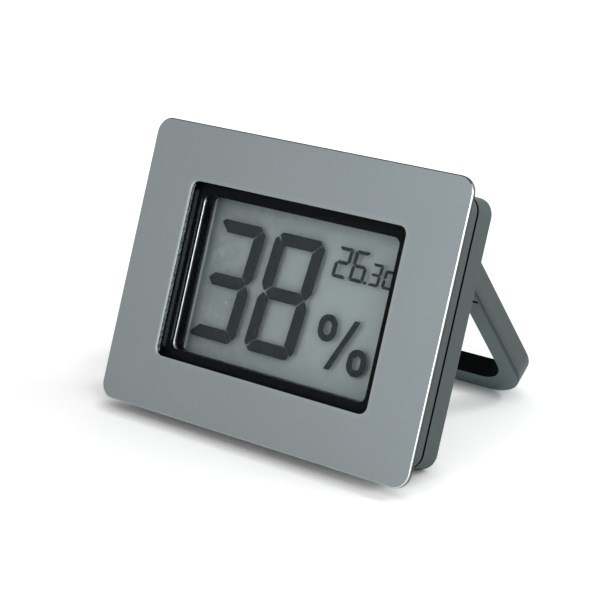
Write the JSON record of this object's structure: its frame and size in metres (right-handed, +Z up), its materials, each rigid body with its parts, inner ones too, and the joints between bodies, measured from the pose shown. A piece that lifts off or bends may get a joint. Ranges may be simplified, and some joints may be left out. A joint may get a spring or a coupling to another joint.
{
  "type": "digital humidor hygrometer",
  "caption": "Digital hygrometer for a humidor: brushed metal face plate, dark plastic case, reflective display of humidity and temperature, and a fold-out loop stand that props it up.",
  "frame": {"origin": "on the floor, at the centre of the bounding box's underside, in the pictured rest pose: leaning back on the open stand", "axes": "+Z up, +X to the viewer's right along the face plate's width, +Y away from the viewer, so the face looks towards -Y and leans back by about 21 degrees"},
  "size_m": [0.06, 0.046, 0.0444],
  "materials": {
    "face_metal": "brushed",
    "adhesive": "matte",
    "clear_lens": "clear polished",
    "case_plastic": "satin",
    "black_plastic": "gloss",
    "foam": "matte",
    "polariser": "clear",
    "display_glass": "clear polished",
    "seal": "matte",
    "segment": "matte",
    "reflector": "matte",
    "zebra": "matte",
    "board": "satin solder mask",
    "epoxy": "gloss",
    "plated_steel": "bright",
    "ceramic": "matte",
    "cell_steel": "satin",
    "screw_steel": "satin"
  },
  "bodies": {
    "case": {"face_plate": "face_metal", "plate_adhesive": "adhesive", "window_lens": "clear_lens", "front_case": "case_plastic", "display_bezel": "black_plastic", "display_gasket": "foam", "front_polariser": "polariser", "front_glass": "display_glass", "crystal_seal": "seal", "humidity_segments": "segment", "temperature_segments": "segment", "rear_glass": "display_glass", "reflector_film": "reflector", "zebra_strip": "zebra", "circuit_board": "board", "chip_blob": "epoxy", "crystal_can": "plated_steel", "chip_passives": "ceramic", "humidity_sensor": "ceramic", "thermistor": "epoxy", "negative_contact": "plated_steel", "positive_contact": "plated_steel", "coin_cell": "cell_steel", "button_dome": "plated_steel", "rear_cover": "case_plastic", "case_screws": "screw_steel"},
    "stand": {"stand": "case_plastic"},
    "battery_door": {"battery_door": "case_plastic"},
    "unit_button": {"unit_button": "case_plastic"}
  },
  "joints": [
    {"name": "stand_fold", "type": "hinge", "parent": "case", "child": "stand", "pos_m": [0, -0.00145, 0.03211], "axis": [1, 0, 0], "range_deg": [-58, 0]},
    {"name": "battery_door_twist", "type": "hinge", "parent": "case", "child": "battery_door", "pos_m": [0, -0.00462, 0.0191], "axis": [0, 0.9309, -0.3654], "range_deg": [0, 40]},
    {"name": "unit_button_press", "type": "slide", "parent": "case", "child": "unit_button", "axis": [0, -0.9309, 0.3654], "range_m": [0, 0.0004], "stiffness_N_per_m": 200}
  ]
}
